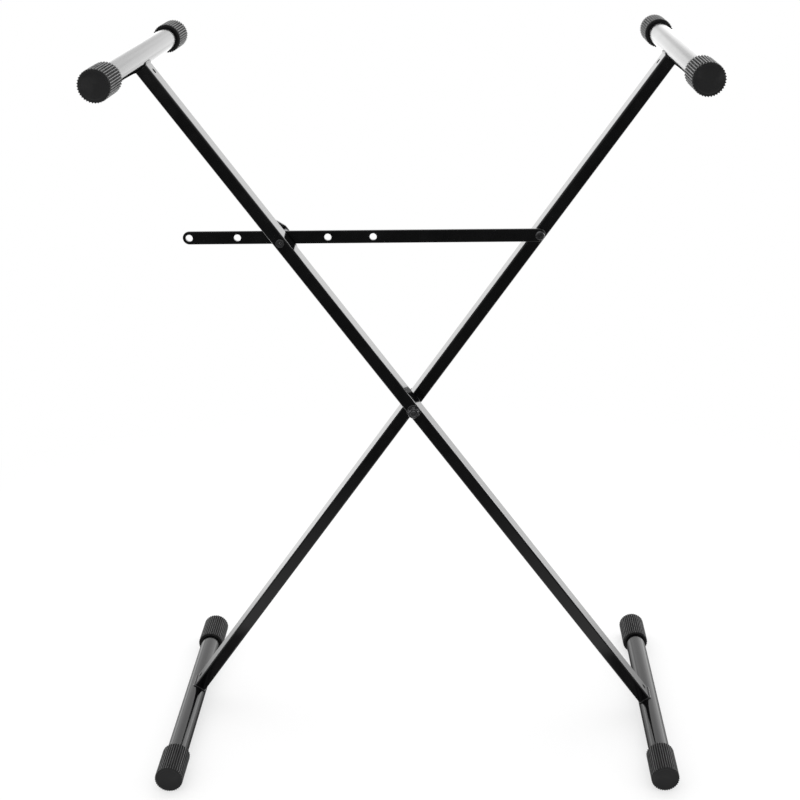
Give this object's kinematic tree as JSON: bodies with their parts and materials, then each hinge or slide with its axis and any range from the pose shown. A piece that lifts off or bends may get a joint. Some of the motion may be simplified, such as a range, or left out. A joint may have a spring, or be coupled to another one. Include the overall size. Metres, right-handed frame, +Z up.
{
  "type": "folding keyboard stand",
  "caption": "Folding X-frame stand with two round arms that carry a keyboard, ribbed end caps and a holed strap that sets the height.",
  "frame": {"origin": "on the floor, below the centre pivot and midway between the two legs", "axes": "+X to the right seen from the front, +Y from front to back along the tubes, +Z up"},
  "size_m": [0.617, 0.41, 0.8448],
  "materials": {
    "black_powder_coat": "smooth gloss black powder coat",
    "cap_rubber": "satin black, ribbed",
    "black_hardware": "black zinc plated",
    "bright_steel": "zinc plated",
    "spacer_nylon": "black nylon"
  },
  "bodies": {
    "front_frame": {"front_leg": "black_powder_coat", "front_leg_welds": "black_powder_coat", "upper_tube_left": "black_powder_coat", "base_tube_right": "black_powder_coat", "upper_cap_left_front": "cap_rubber", "upper_cap_left_rear": "cap_rubber", "base_cap_right_front": "cap_rubber", "base_cap_right_rear": "cap_rubber", "pivot_bolt": "black_hardware", "pivot_nut": "black_hardware", "pivot_washers": "black_hardware", "pivot_spacer": "spacer_nylon", "latch_bracket": "black_powder_coat", "bracket_rivets": "black_hardware", "pin_bush": "black_hardware", "latch_spring": "bright_steel"},
    "back_frame": {"back_leg": "black_powder_coat", "back_leg_welds": "black_powder_coat", "upper_tube_right": "black_powder_coat", "base_tube_left": "black_powder_coat", "upper_cap_right_front": "cap_rubber", "upper_cap_right_rear": "cap_rubber", "base_cap_left_front": "cap_rubber", "base_cap_left_rear": "cap_rubber", "strap_bolt": "black_hardware", "strap_nut": "black_hardware", "strap_washers": "black_hardware"},
    "strap": {"locking_strap": "black_powder_coat"},
    "latch_pin": {"plunger_pin": "bright_steel", "spring_seat": "bright_steel"},
    "ring": {"pull_ring": "bright_steel"}
  },
  "joints": [
    {"name": "fold", "type": "hinge", "parent": "front_frame", "child": "back_frame", "pos_m": [0, 0, 0.42238], "axis": [0, 1, 0], "range_deg": [-61.46, 34.22]},
    {"name": "strap_pivot", "type": "hinge", "parent": "back_frame", "child": "strap", "pos_m": [0.146, 0, 0.62532], "axis": [0, 1, 0], "range_deg": [-17.11, 30.73]},
    {"name": "latch_pull", "type": "slide", "parent": "front_frame", "child": "latch_pin", "axis": [0, 1, 0], "range_m": [0, 0.008], "stiffness_N_per_m": 600, "springref_m": -0.006, "deforming": ["latch_spring"]},
    {"name": "ring_swing", "type": "hinge", "parent": "latch_pin", "child": "ring", "pos_m": [-0.146, 0.0269, 0.62532], "axis": [1, 0, 0], "range_deg": [0, 85]}
  ],
  "couplings": [
    {"joint": "strap_pivot", "follows": "fold", "ratio": -0.5}
  ]
}
